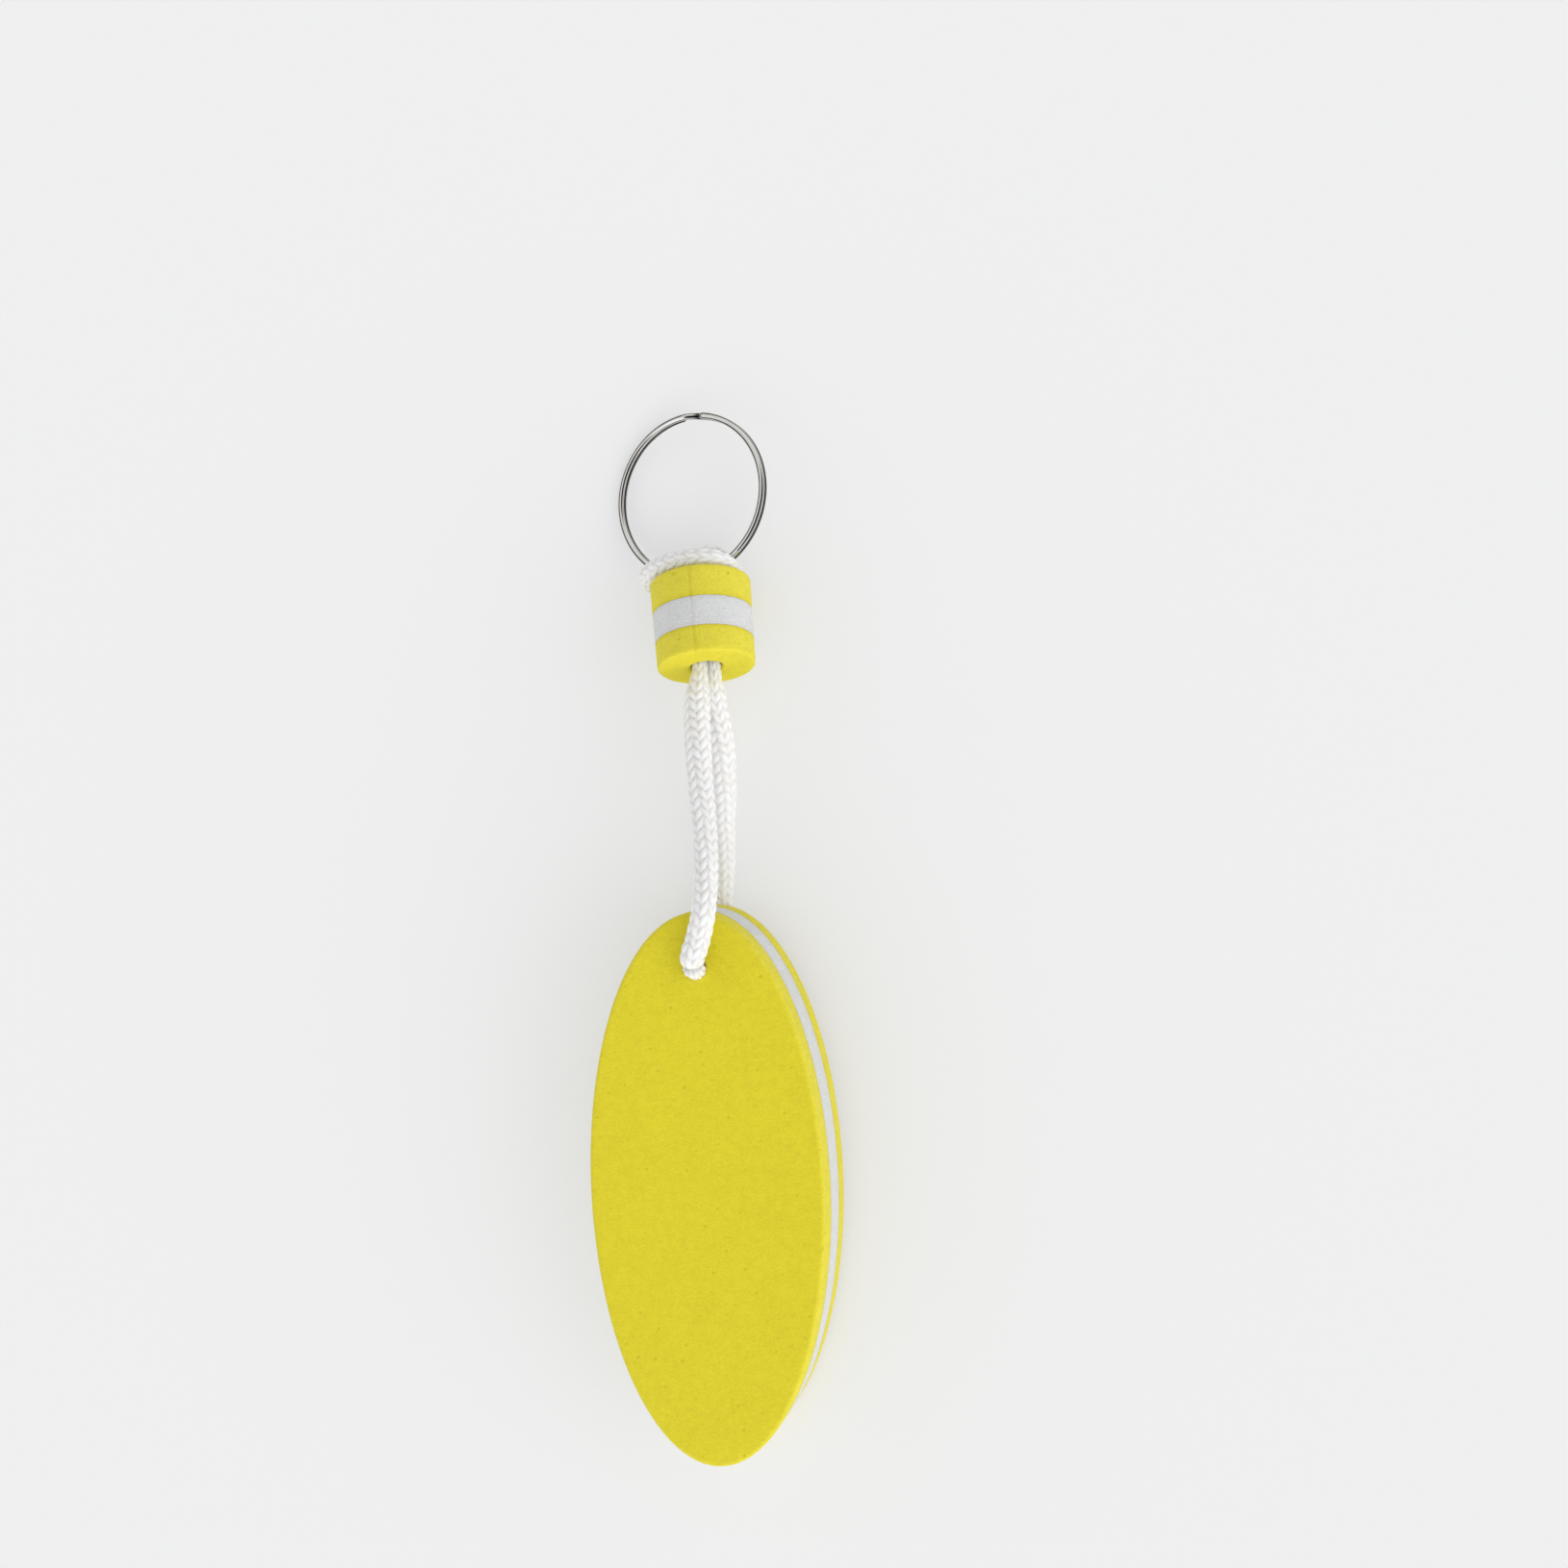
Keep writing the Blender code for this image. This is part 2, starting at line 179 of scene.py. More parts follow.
# Cord route: each point has the cord's thickness there, as a share of its free one.
# It follows the CAD's route, but is fuller in the bore and beside the bead, and thinner where
# it folds into the float's hole.
# Both halves of the hitch are measured from the gripped wire, in the ring's axes.
hitchLeft = [  # from the bore to the middle of the crossbar
    (-0.00085, -0.0010, 0.0026, 0.62),
    (-0.00195, 0.0005, 0.0028, 0.76),
    (-0.00295, 0.00205, 0.00225, 0.80),
    (-0.00335, 0.00285, 0.0001, 0.80),
    (-0.0039, 0.0024, -0.0022, 0.80),
    (-0.0051, 0.0006, -0.0026, 0.80),
    (-0.0067, -0.0007, -0.0017, 0.76),
    (-0.0077, -0.0005, 0.0005, 0.76),
    (-0.0078, -0.0001, 0.0031, 0.80),
    (-0.0066, 0.0003, 0.0052, 0.86),
    (-0.0039, 0.0006, 0.0066, 0.94),
    (0.0, 0.0007, 0.0072, 0.96),
]
hitchRight = [  # from the crossbar back to the bore
    (0.0035, 0.0006, 0.0068, 0.94),
    (0.0059, 0.0003, 0.0055, 0.86),
    (0.0069, -0.0001, 0.0033, 0.78),
    (0.00675, -0.00065, 0.0006, 0.70),
    (0.00595, -0.00075, -0.0018, 0.72),
    (0.0046, 0.0005, -0.00265, 0.80),
    (0.0035, 0.0022, -0.00215, 0.80),
    (0.0030, 0.00275, 0.0001, 0.80),
    (0.00275, 0.00205, 0.00225, 0.80),
    (0.0026, 0.0005, 0.0028, 0.76),
    (0.0021, -0.0010, 0.0026, 0.62),
]
underRun = [  # from the bore down to the table and under the float
    (0.0018, 0.0795, 0.0105, 1.06),
    (0.0024, 0.0730, 0.0091, 1.10),
    (0.0022, 0.0660, 0.0074, 1.08),
    (0.0014, 0.0590, 0.0054, 1.0),
    (0.0005, 0.0520, 0.0031, 1.0),
    (-0.0003, 0.0460, 0.0021, 1.0),
    (-0.0004, 0.0405, 0.00205, 1.0),
]
overRun = [  # from the float's face up to the bead
    (0.0012, 0.0406, 0.0219, 1.0),
    (0.0024, 0.0450, 0.0223, 0.99),
    (0.0026, 0.0510, 0.0210, 0.97),
    (0.0020, 0.0580, 0.0190, 0.98),
    (0.0010, 0.0650, 0.0171, 1.04),
    (0.0003, 0.0720, 0.0154, 1.09),
    (-0.0001, 0.0795, 0.0137, 1.06),
]


def holePoints():  # up through the float, round the edge of its hole
    x, edge = oval["holeOffMiddle"], holeY + oval["hole"] / 2
    reach = oval["hole"] / 2 + cordSize["offEdge"]
    lean = reach * math.sqrt(0.5)
    return [
        (x, edge, -thickness - reach, 0.97),
        (x, edge - lean, -thickness - lean, 0.96),
        (x, edge - reach, -thickness, 0.95),
        (x, edge - reach, -thickness / 2, 0.95),
        (x + 0.0002, edge - reach, 0.0, 0.78),  # pinched, and drifting to one side
        (x + 0.0003, edge - lean, lean, 0.86),
        (x + 0.0005, edge, reach, 1.02),
    ]


def put(place, points):
    return [(place @ Vector(p[:3]), p[3]) for p in points]


def borePoints(side, stations):
    # side by side at the ring's end, turned towards one over the other at the float's
    spread = cordSize["boreSpread"]
    points = []
    for z in stations:
        turn = side * cordSize["boreTurn"] * (0.5 - z / beadLength)
        x, y = side * spread * math.cos(turn), spread * math.sin(turn)
        points.append((x, y, z, cordSize["inBore"]))
    return put(beadPlace, points)


def cordRoute():
    end, halfGap = beadLength / 2, cordSize["endsGap"] / 2
    route = borePoints(-1, (halfGap, end / 2, end))
    route += put(gripPlace, hitchLeft) + put(gripPlace, hitchRight)
    route += borePoints(1, (end, 0.0, -end))
    route += put(centring, underRun)
    route += put(floatPlace, holePoints())
    route += put(centring, overRun)
    route += borePoints(-1, (-end, -end / 2, -halfGap))
    return route


def smoothLine(route, reads):  # a centripetal spline through the route
    points = [p for p, _ in route]
    sizes = [r for _, r in route]
    padded = [points[0] * 2 - points[1]] + points + [points[-1] * 2 - points[-2]]
    places, widths = [], []
    for i in range(len(points) - 1):
        a, b, c, d = padded[i:i + 4]
        ab, bc, cd = ((q - p).length ** 0.5 for p, q in ((a, b), (b, c), (c, d)))
        leave = ((b - a) / ab - (c - a) / (ab + bc) + (c - b) / bc) * bc
        arrive = ((c - b) / bc - (d - b) / (bc + cd) + (d - c) / cd) * bc
        for k in range(reads):
            t = k / reads
            fromB, alongB = 2 * t ** 3 - 3 * t ** 2 + 1, t ** 3 - 2 * t ** 2 + t
            toC, alongC = -2 * t ** 3 + 3 * t ** 2, t ** 3 - t ** 2
            places.append(b * fromB + leave * alongB + c * toC + arrive * alongC)
            ease = t * t * (3 - 2 * t)
            widths.append(sizes[i] * (1 - ease) + sizes[i + 1] * ease)
    places.append(points[-1])
    widths.append(sizes[-1])
    return np.array([list(p) for p in places]), np.array(widths)


# Node trees: arithmetic on sockets, and one method for every other node

class Wire:  # a socket whose sums and products add Math nodes
    def __init__(self, nodes, socket):
        self.nodes, self.socket = nodes, socket

    def sum(self, operation, a, b=0.0):
        settings, sockets = {"operation": operation}, {0: a, 1: b}
        return self.nodes.node("ShaderNodeMath", settings, sockets, "Value")

    def __add__(self, other): return self.sum("ADD", self, other)
    def __radd__(self, other): return self.sum("ADD", other, self)
    def __sub__(self, other): return self.sum("SUBTRACT", self, other)
    def __rsub__(self, other): return self.sum("SUBTRACT", other, self)
    def __mul__(self, other): return self.sum("MULTIPLY", self, other)
    def __rmul__(self, other): return self.sum("MULTIPLY", other, self)
    def __pow__(self, other): return self.sum("POWER", self, other)
    def __rpow__(self, other): return self.sum("POWER", other, self)
    def __gt__(self, other): return self.sum("GREATER_THAN", self, other)
    def __lt__(self, other): return self.sum("LESS_THAN", self, other)

    def frac(self): return self.sum("FRACT", self)
    def cos(self): return self.sum("COSINE", self)
    def sin(self): return self.sum("SINE", self)
    def positive(self): return self.sum("MAXIMUM", self)


class Nodes:  # a node tree that expressions add nodes to
    def __init__(self, tree):
        self.tree = tree

    def fill(self, socket, value):
        if isinstance(value, Wire):
            self.tree.links.new(value.socket, socket)
        elif socket.type == "RGBA" and len(value) == 3:
            socket.default_value = (*value, 1.0)
        else:
            socket.default_value = value

    def find(self, sockets, key):
        if isinstance(key, int):
            return sockets[key]
        return next(s for s in sockets if key in (s.identifier, s.name))

    def node(self, kind, settings, sockets, take):
        made = self.tree.nodes.new(kind)
        for name, value in settings.items():
            if name == "stops":
                ramp = made.color_ramp
                while len(ramp.elements) < len(value):
                    ramp.elements.new(0.5)
                for element, (place, tone) in zip(ramp.elements, value):
                    element.position = place
                    element.color = (tone, tone, tone, 1.0)
            else:
                setattr(made, name, value)
        for key, value in sockets.items():
            self.fill(self.find(made.inputs, key), value)
        return Wire(self, self.find(made.outputs, take))

    def place(self):
        return self.node("ShaderNodeTexCoord", {}, {}, "Object")

    def light(self, name):
        return self.node("ShaderNodeLightPath", {}, {}, name)

    def attribute(self, name):
        return self.node("ShaderNodeAttribute", {"attribute_name": name}, {}, "Fac")

    def part(self, vector, axis):  # X, Y or Z of a vector
        return self.node("ShaderNodeSeparateXYZ", {}, {"Vector": vector}, axis)

    def map(self, name):
        return self.node("ShaderNodeUVMap", {"uv_map": name}, {}, "UV")

    def mix(self, share, a, b):
        sockets = {"Factor_Float": share, "A_Color": a, "B_Color": b}
        return self.node("ShaderNodeMix", {"data_type": "RGBA"}, sockets, "Result_Color")

    def choose(self, which, a, b):  # a number: a where which is 0, b where it is 1
        sockets = {"Factor_Float": which, "A_Float": a, "B_Float": b}
        return self.node("ShaderNodeMix", {"data_type": "FLOAT"}, sockets, "Result_Float")

    def noise(self, where, scale, detail=2.0, roughness=0.5):
        sockets = {"Vector": where, "Scale": scale, "Detail": detail, "Roughness": roughness}
        return self.node("ShaderNodeTexNoise", {}, sockets, "Fac")

    def cells(self, where, scale):
        return self.node("ShaderNodeTexVoronoi", {}, {"Vector": where, "Scale": scale}, "Distance")

    def ramp(self, value, *stops):
        return self.node("ShaderNodeValToRGB", {"stops": stops}, {"Fac": value}, "Color")

    def bump(self, height, distance, strength=1.0):
        sockets = {"Height": height, "Distance": distance, "Strength": strength}
        return self.node("ShaderNodeBump", {}, sockets, "Normal")

    def blend(self, share, a, b):  # of two shaders
        return self.node("ShaderNodeMixShader", {}, {"Fac": share, 1: a, 2: b}, "Shader")


class Paint(Nodes):  # one material
    def __init__(self, name, metallic=0.0, specular=0.5):
        self.material = bpy.data.materials.new(name)
        self.material.use_nodes = True
        super().__init__(self.material.node_tree)
        self.shader = self.tree.nodes["Principled BSDF"]
        self.shader.inputs["Metallic"].default_value = metallic
        self.shader.inputs["Specular IOR Level"].default_value = specular

    def finish(self, **sockets):
        for name, value in sockets.items():
            self.fill(self.shader.inputs[name.replace("_", " ")], value)
        return self.material


# Mesh helpers

def makePiece(name, points, faces, material, body, node):
    mesh = bpy.data.meshes.new(name)
    mesh.from_pydata([tuple(p) for p in points], [], faces)
    mesh.update()
    mesh.materials.append(material)
    piece = bpy.data.objects.new(name, mesh)
    scene.collection.objects.link(piece)
    mesh.shade_smooth()
    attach(piece, body)
    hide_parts(node)
    return piece


def loopFaces(rings, around, closed):  # quads between rings of points
    faces = []
    for i in range(rings if closed else rings - 1):  # closed joins the last ring to the first
        here, there = i * around, (i + 1) % rings * around
        for j in range(around):
            k = (j + 1) % around
            faces.append((here + j, here + k, there + k, there + j))
    return faces


def giveAttribute(piece, name, values):
    layer = piece.data.attributes.new(name, "FLOAT", "POINT")
    layer.data.foreach_set("value", np.asarray(values, np.float32))


def quarter(radius, steps, start):  # a quarter round, clockwise
    angles = [start - math.pi / 2 * k / steps for k in range(steps + 1)]
    return [(radius * math.cos(a), radius * math.sin(a)) for a in angles]


# Foam: yellow and white closed-cell sheets

foamLook = {
    "yellow": (0.700, 0.607, 0.022),
    "yellowCut": (0.712, 0.630, 0.055),
    "yellowPore": (0.480, 0.400, 0.010),
    "white": (0.625, 0.630, 0.625),
    "whiteCut": (0.640, 0.648, 0.645),
    "whitePore": (0.500, 0.500, 0.490),
    "specular": 0.22,
    "cloudScale": 120.0,
    "mottleScale": 700.0,
    "grainScale": 2300.0,
    "poreScale": 420.0,
    "cellScale": 3000.0,
    "deep": 0.62,  # what is left of the colour in the darkest foam
    "shade": 0.10,  # how dark it is on average, and what each noise adds to that
    "cloudTone": 0.16,
    "mottleTone": 0.42,
    "grainTone": 0.62,
    "poreTone": 0.45,
    "cutPoreTone": 0.25,
    "jointTone": 0.42,
    "seamTone": 0.7,
    "cellDepth": 0.00007,
    "cellRelief": 0.6,
    "grainRelief": 0.8,
    "poreRelief": 1.2,
    "roughness": 0.66,
    "mottleRough": 0.16,
    "cutRough": 0.10,
}


def makeFoam(name, colour, cutColour, poreColour):
    look = foamLook
    paint = Paint(name, specular=look["specular"])
    here = paint.place()
    cloud = paint.noise(here, look["cloudScale"], 3.0)
    mottle = paint.noise(here, look["mottleScale"], 2.0)
    grain = paint.noise(here, look["grainScale"], 2.0, 0.6)
    cells = paint.cells(here, look["cellScale"])
    spots = paint.cells(here, look["poreScale"])
    cut, joint, seam = (paint.attribute(mark) for mark in ("cut", "joint", "seam"))

    shade = look["shade"] + (cloud - 0.5) * look["cloudTone"] + (mottle - 0.5) * look["mottleTone"]
    shade = shade + (grain - 0.5) * look["grainTone"]
    pores = paint.ramp(spots, (0.05, 1.0), (0.17, 0.0))
    pores = pores * paint.ramp(mottle, (0.40, 1.0), (0.62, 0.15))  # fewer in the darker foam
    marks = pores * (look["poreTone"] + cut * look["cutPoreTone"]) + joint * look["jointTone"]
    marks = marks + seam * grain * look["seamTone"]
    tone = paint.mix(cut, colour, cutColour)
    tone = paint.mix(shade, tone, tuple(c * look["deep"] for c in colour))
    tone = paint.mix(marks, tone, poreColour)

    relief = cells * (look["cellRelief"] + cut * look["cellRelief"])
    relief = relief + grain * look["grainRelief"] + mottle * look["grainRelief"]
    normal = paint.bump(relief - pores * look["poreRelief"], look["cellDepth"])
    rough = look["roughness"] + (mottle - 0.5) * look["mottleRough"] + cut * look["cutRough"]
    return paint.finish(Base_Color=tone, Roughness=rough, Normal=normal)


yellowFoam = makeFoam(
    "yellowFoam", foamLook["yellow"], foamLook["yellowCut"], foamLook["yellowPore"],
)
whiteFoam = makeFoam(
    "whiteFoam", foamLook["white"], foamLook["whiteCut"], foamLook["whitePore"],
)
print("foam materials made")


# Float: three oval sheets, cut as one, with a lipped hole that the cord has drawn in

floatDetail = {
    "around": 176,
    "acrossFace": 16,
    "rimSteps": 6,
    "lipSteps": 4,
    "cutWander": 0.00007,
    "faceWander": 0.00006,
    "dimpleDepth": 0.00080,
    "dimpleReach": 0.0036,
    "glueGroove": 0.00014,
    "jointWidth": 0.00022,
    "holeLip": 0.0006,
    "drawnIn": 0.00060,
    "drawnTo": 0.00022,
}
faceJoint = -oval["faceSheet"] - halfGlue
backJoint = -thickness + oval["backSheet"] + halfGlue


def ovalRim():  # points and outward directions at even steps along the oval, from its +X side
    a, b = oval["width"] / 2, oval["length"] / 2
    fine = np.linspace(0, 2 * math.pi, 2881)
    x, y = a * np.cos(fine), b * np.sin(fine)
    along = np.concatenate([[0], np.cumsum(np.hypot(np.diff(x), np.diff(y)))])
    steps = np.arange(floatDetail["around"]) / floatDetail["around"] * along[-1]
    angle = np.interp(steps, along, fine)
    points = np.stack([a * np.cos(angle), b * np.sin(angle)], axis=1)
    out = np.stack([np.cos(angle) / a, np.sin(angle) / b], axis=1)
    return points, out / np.linalg.norm(out, axis=1)[:, None]


def sheetSection(top, bottom, topRim, bottomRim, topLip, bottomLip):
    # each entry: where it is measured from, how far in or out, height, how much it is a cut edge
    across, rimSteps, lipSteps = (floatDetail[k] for k in ("acrossFace", "rimSteps", "lipSteps"))
    section = []
    for dx, dz in quarter(topLip, lipSteps, math.pi):
        section.append(("hole", topLip + dx, top - topLip + dz, 0.5))
    for k in range(1, across):
        section.append(("face", k / across, top, 0.0))
    for k, (dx, dz) in enumerate(quarter(topRim, rimSteps, math.pi / 2)):
        section.append(("rim", topRim - dx, top - topRim + dz, k / rimSteps))
    for share in (0.25, 0.5, 0.75):
        wall = (top - topRim) * (1 - share) + (bottom + bottomRim) * share
        section.append(("rim", 0.0, wall, 1.0))
    for k, (dx, dz) in enumerate(quarter(bottomRim, rimSteps, 0.0)):
        section.append(("rim", bottomRim - dx, bottom + bottomRim + dz, 1 - k / rimSteps))
    for k in range(1, across):
        section.append(("face", 1 - k / across, bottom, 0.0))
    for dx, dz in quarter(bottomLip, lipSteps, -math.pi / 2):
        section.append(("hole", bottomLip + dx, bottom + bottomLip + dz, 0.5))
    return section


def knifeStray(x, y):  # inwards only: a slow wander and a quick one
    slow = noise.noise(Vector((x * 160, y * 160, 3.0)))
    quick = noise.noise(Vector((x * 520, y * 520, 9.0)))
    return min(0.0, slow * 0.7 + quick * 0.3 - 0.25)


def makeFloatSheet(name, node, top, bottom, isFace, isBack, material):
    groove, soft, lip = floatDetail["glueGroove"], foam["softEdge"], floatDetail["holeLip"]
    topRim, bottomRim = (soft if isFace else groove), (soft if isBack else groove)
    topLip, bottomLip = (lip if isFace else groove), (lip if isBack else groove)
    section = sheetSection(top, bottom, topRim, bottomRim, topLip, bottomLip)
    rim, out = ovalRim()
    holeCentre = np.array((oval["holeOffMiddle"], holeY))
    spoke = rim - holeCentre
    spoke /= np.linalg.norm(spoke, axis=1)[:, None]
    # the cord leans on the ring's side of the hole
    pull = 0.65 + 0.35 * np.clip(spoke[:, 1], -1, 1)
    bore = oval["hole"] / 2
    points, cuts, joints = [], [], []
    for kind, far, z, cut in section:
        isTop = z > (top + bottom) / 2
        # the foam closes on the cord at the face, on the side that pulls
        drawn = 1.0 if isFace and isTop else 0.0
        hug = bore - floatDetail["drawnIn"] * drawn
        middle = holeCentre + np.array((0.0, floatDetail["drawnTo"] * drawn))
        if kind == "hole":
            flat = middle + spoke * (hug + far)
        elif kind == "rim":
            flat = rim - out * far
        else:
            inner = middle + spoke * (hug + (topLip if isTop else bottomLip))
            outer = rim - out * (topRim if isTop else bottomRim)
            share = far ** 1.6 / (far ** 1.6 + (1 - far) ** 1.2)  # closer rings beside the hole
            flat = inner * (1 - share) + outer * share
        gap = min(abs(z - faceJoint), abs(z - backJoint))
        dark = math.exp(-(gap / floatDetail["jointWidth"]) ** 2) if kind == "rim" else 0.0

        away = np.maximum(np.linalg.norm(flat - holeCentre, axis=1) - bore, 0)
        fade = np.exp(-(away / floatDetail["dimpleReach"]) ** 2)
        sink = floatDetail["dimpleDepth"] * pull * fade
        height = np.full(len(flat), z)
        if isFace and z > top - lip * 1.01:
            height -= sink
        if isBack and z < bottom + lip * 1.01:
            height += sink
        for (x, y), h, (ox, oy) in zip(flat, height, out):
            shift = knifeStray(x, y) * floatDetail["cutWander"] * cut
            if isFace and z == top:
                dip = noise.noise(Vector((x * 70, y * 70, z * 90))) * floatDetail["faceWander"]
                h -= abs(dip * (1 - cut))
            points.append((x + ox * shift, y + oy * shift, h))
            cuts.append(cut)
            joints.append(dark)
    world = [floatPlace @ Vector(p) for p in points]
    faces = loopFaces(len(section), len(rim), True)
    piece = makePiece(name, world, faces, material, "float_and_cord", node)
    giveAttribute(piece, "cut", cuts)
    giveAttribute(piece, "joint", joints)


makeFloatSheet(
    "floatFaceSheet", "float_face_sheet", 0.0, faceJoint, True, False, yellowFoam,
)
makeFloatSheet(
    "floatCoreSheet", "float_core_sheet", faceJoint, backJoint, False, False,
    whiteFoam,
)
makeFloatSheet(
    "floatBackSheet", "float_back_sheet", backJoint, -thickness, False, True,
    yellowFoam,
)
print("float made")


# Bead: three bored discs, punched out together

beadDetail = {
    "around": 240,
    "acrossFace": 6,
    "wallSteps": 6,
    "edgeSteps": 4,
    "rim": 0.00045,
    "boreLip": 0.00055,
    "groove": 0.00014,
    "jointWidth": 0.00024,
    "cutWander": 0.00006,
    "seamAngle": math.radians(-85.6),
    "seamDepth": 0.00009,
    "seamWidth": 0.00022,
    "lipCut": 0.6,  # how much each part of the surface looks cut
    "faceCut": 0.25,
    "rimCut": 0.8,
}
ringJoint = beadLength / 2 - bead["ringEndSheet"] - halfGlue
floatJoint = bead["floatEndSheet"] - beadLength / 2 + halfGlue


def discSection(top, bottom, inner, outer, topRim, bottomRim, topLip, bottomLip):
    # each entry: radius, height, and how much it is a cut edge
    across, wall, edge = (beadDetail[k] for k in ("acrossFace", "wallSteps", "edgeSteps"))
    lipCut, faceCut, rimCut = (beadDetail[k] for k in ("lipCut", "faceCut", "rimCut"))
    section = []
    for dx, dz in quarter(topLip, edge, math.pi):
        section.append((inner + topLip + dx, top - topLip + dz, lipCut))
    for k in range(1, across):
        share = k / across
        section.append(((inner + topLip) * (1 - share) + (outer - topRim) * share, top, faceCut))
    for dx, dz in quarter(topRim, edge, math.pi / 2):
        section.append((outer - topRim + dx, top - topRim + dz, rimCut))
    for k in range(1, wall):
        z = (top - topRim) * (1 - k / wall) + (bottom + bottomRim) * k / wall
        section.append((outer, z, 1.0))
    for dx, dz in quarter(bottomRim, edge, 0.0):
        section.append((outer - bottomRim + dx, bottom + bottomRim + dz, rimCut))
    for k in range(1, across):
        share = 1 - k / across
        radius = (inner + bottomLip) * (1 - share) + (outer - bottomRim) * share
        section.append((radius, bottom, faceCut))
    for dx, dz in quarter(bottomLip, edge, -math.pi / 2):
        section.append((inner + bottomLip + dx, bottom + bottomLip + dz, lipCut))
    return section


def makeBeadSheet(name, node, top, bottom, edges, material):
    inner = bead["bore"] / 2
    outer = bead["diameter"] / 2 - bead["taper"] / 4
    section = discSection(top, bottom, inner, outer, *edges)
    around = beadDetail["around"]
    points, cuts, joints, seams = [], [], [], []
    for radius, z, cut in section:
        gap = min(abs(z - ringJoint), abs(z - floatJoint))
        atWall = 1.0 if radius > outer * 0.94 else 0.0
        atRim = max(0.0, (radius - inner) / (outer - inner))
        for j in range(around):
            angle = 2 * math.pi * j / around + beadDetail["seamAngle"]
            off = min(j, around - j) * 2 * math.pi / around * outer
            seam = atWall * math.exp(-(off / beadDetail["seamWidth"]) ** 2)
            x, y = math.cos(angle), math.sin(angle)
            wander = noise.noise(Vector((x * 1.4, y * 1.4, z * 60 + 5))) - 0.2
            shift = min(0.0, wander) * beadDetail["cutWander"] * (1.0 if atRim > 0.8 else 0.0)
            shift += bead["taper"] / 2 * z / beadLength * atRim - beadDetail["seamDepth"] * seam
            points.append(beadPlace @ Vector((x * (radius + shift), y * (radius + shift), z)))
            cuts.append(cut)
            seams.append(seam)
            joints.append(math.exp(-(gap / beadDetail["jointWidth"]) ** 2) * atWall)
    faces = loopFaces(len(section), around, True)
    piece = makePiece(name, points, faces, material, "float_and_cord", node)
    giveAttribute(piece, "cut", cuts)
    giveAttribute(piece, "joint", joints)
    giveAttribute(piece, "seam", seams)


# edges: top rim, bottom rim, top lip of the bore, bottom lip
rimEdge, lipEdge, grooveEdge = beadDetail["rim"], beadDetail["boreLip"], beadDetail["groove"]
makeBeadSheet(
    "beadRingEndSheet", "bead_ring_end_sheet", beadLength / 2, ringJoint,
    (rimEdge, grooveEdge, lipEdge, grooveEdge), yellowFoam,
)
makeBeadSheet(
    "beadCoreSheet", "bead_core_sheet", ringJoint, floatJoint,
    (grooveEdge, grooveEdge, grooveEdge, grooveEdge), whiteFoam,
)
makeBeadSheet(
    "beadFloatEndSheet", "bead_float_end_sheet", floatJoint, -beadLength / 2,
    (grooveEdge, rimEdge, grooveEdge, lipEdge), yellowFoam,
)
print("bead made")


# Cord: a hollow braid of twenty yarns, ten each way, each yarn over two and under two

braid = {
    "reads": 24,  # of the route, between two of its points
    "step": 0.00022,
    "around": 96,
    "eachWay": 10,
    "yarnTurn": 0.0170,
    "yarnRise": 0.42,
    "yarnSlant": 0.42,
    "yarnBlend": 9.0,
    "lowest": 0.10,
    "plyGroove": 0.07,
    "plyWidth": 0.17,
    "fullest": 1.05,
    "relief": 0.28,
    "twist": 5.0,
    "wander": 0.00024,
    "wanderAround": 1.6,
    "wanderAlong": 420,
    "sway": 0.013,
    "swell": 0.015,
    "bendKeep": 0.80,
    "ownStretch": 0.012,
    "creaseAt": math.radians(38.0),
    "creaseDepth": 0.36,
    "creaseWidth": 0.00030,
    # how much shade is painted into the crease where the cord folds into the hole
    "creaseShade": 1.3,
    "offTable": 0.00005,
}
braidLook = {
    "colour": (0.868, 0.868, 0.875),
    "warm": (0.856, 0.848, 0.828),
    # painted shade: a dark colour for the pits between the yarns and the crease at the fold
    "pit": (0.420, 0.415, 0.410),
    "pitShadeTone": 0.45,
    "patchScale": 520.0,
    "fuzzScale": 5200.0,
    "fuzzRelief": 0.9,
    "filaments": 7.0,
    "filamentRelief": 0.5,
    "filamentDepth": 0.00004,
    "bump": 0.8,
    "roughness": 0.50,
    "fuzzRough": 0.2,
    "specular": 0.50,
    "sheen": 0.25,
    "sheenRoughness": 0.5,
}


def makeBraidPaint():
    look = braidLook
    paint = Paint("whiteBraid", specular=look["specular"])
    here = paint.place()
    pattern = paint.map("braid")
    turn, far = paint.part(pattern, "X"), paint.part(pattern, "Y")
    column = turn * (math.pi * braid["eachWay"])
    bow = column.sin() * (braid["yarnSlant"] / math.pi)
    yarnS = (turn - far) * float(braid["eachWay"]) - bow
    yarnZ = (turn + far) * float(braid["eachWay"]) + bow
    across = paint.choose(column.cos() > 0.0, yarnZ.frac(), yarnS.frac())
    threads = (across * (2.0 * math.pi * look["filaments"])).cos()
    fuzz = paint.noise(here, look["fuzzScale"], 2.0)
    patch = paint.ramp(paint.noise(here, look["patchScale"], 2.0), (0.40, 0.0), (0.62, 1.0))
    tone = paint.mix(patch, look["colour"], look["warm"])
    # painted shade in the pits between the yarns and in the crease at the fold
    tone = paint.mix(paint.attribute("pit") * look["pitShadeTone"], tone, look["pit"])
    relief = threads * look["filamentRelief"] + fuzz * look["fuzzRelief"]
    normal = paint.bump(relief, look["filamentDepth"], look["bump"])
    rough = look["roughness"] + (fuzz - 0.5) * look["fuzzRough"]
    paint.shader.inputs["Sheen Weight"].default_value = look["sheen"]
    paint.shader.inputs["Sheen Roughness"].default_value = look["sheenRoughness"]
    return paint.finish(Base_Color=tone, Roughness=rough, Normal=normal)


